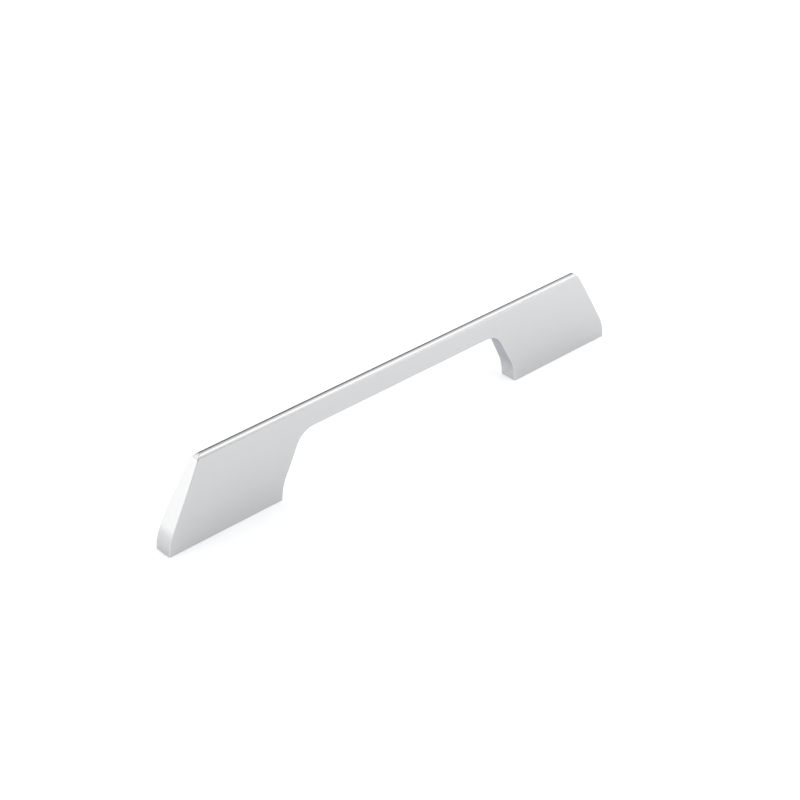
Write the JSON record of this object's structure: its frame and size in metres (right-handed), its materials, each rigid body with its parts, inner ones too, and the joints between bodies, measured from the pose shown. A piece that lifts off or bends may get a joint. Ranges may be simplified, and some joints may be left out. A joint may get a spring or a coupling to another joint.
{
  "type": "arch handle",
  "caption": "Slim furniture pull: a gently bowed metal strip with slanted ends, cut away in the middle into an arch that stands on feet with blind threaded holes.",
  "frame": {"origin": "middle of the plane in which both feet stand on the furniture, half way between the two screw holes", "axes": "+X along the grip, -Y out of the handle's front face, +Z away from the furniture front"},
  "size_m": [0.208, 0.0071, 0.0325],
  "materials": {
    "satin_aluminium": "satin silver anodised"
  },
  "bodies": {
    "root": {"handle": "satin_aluminium"}
  },
  "joints": []
}
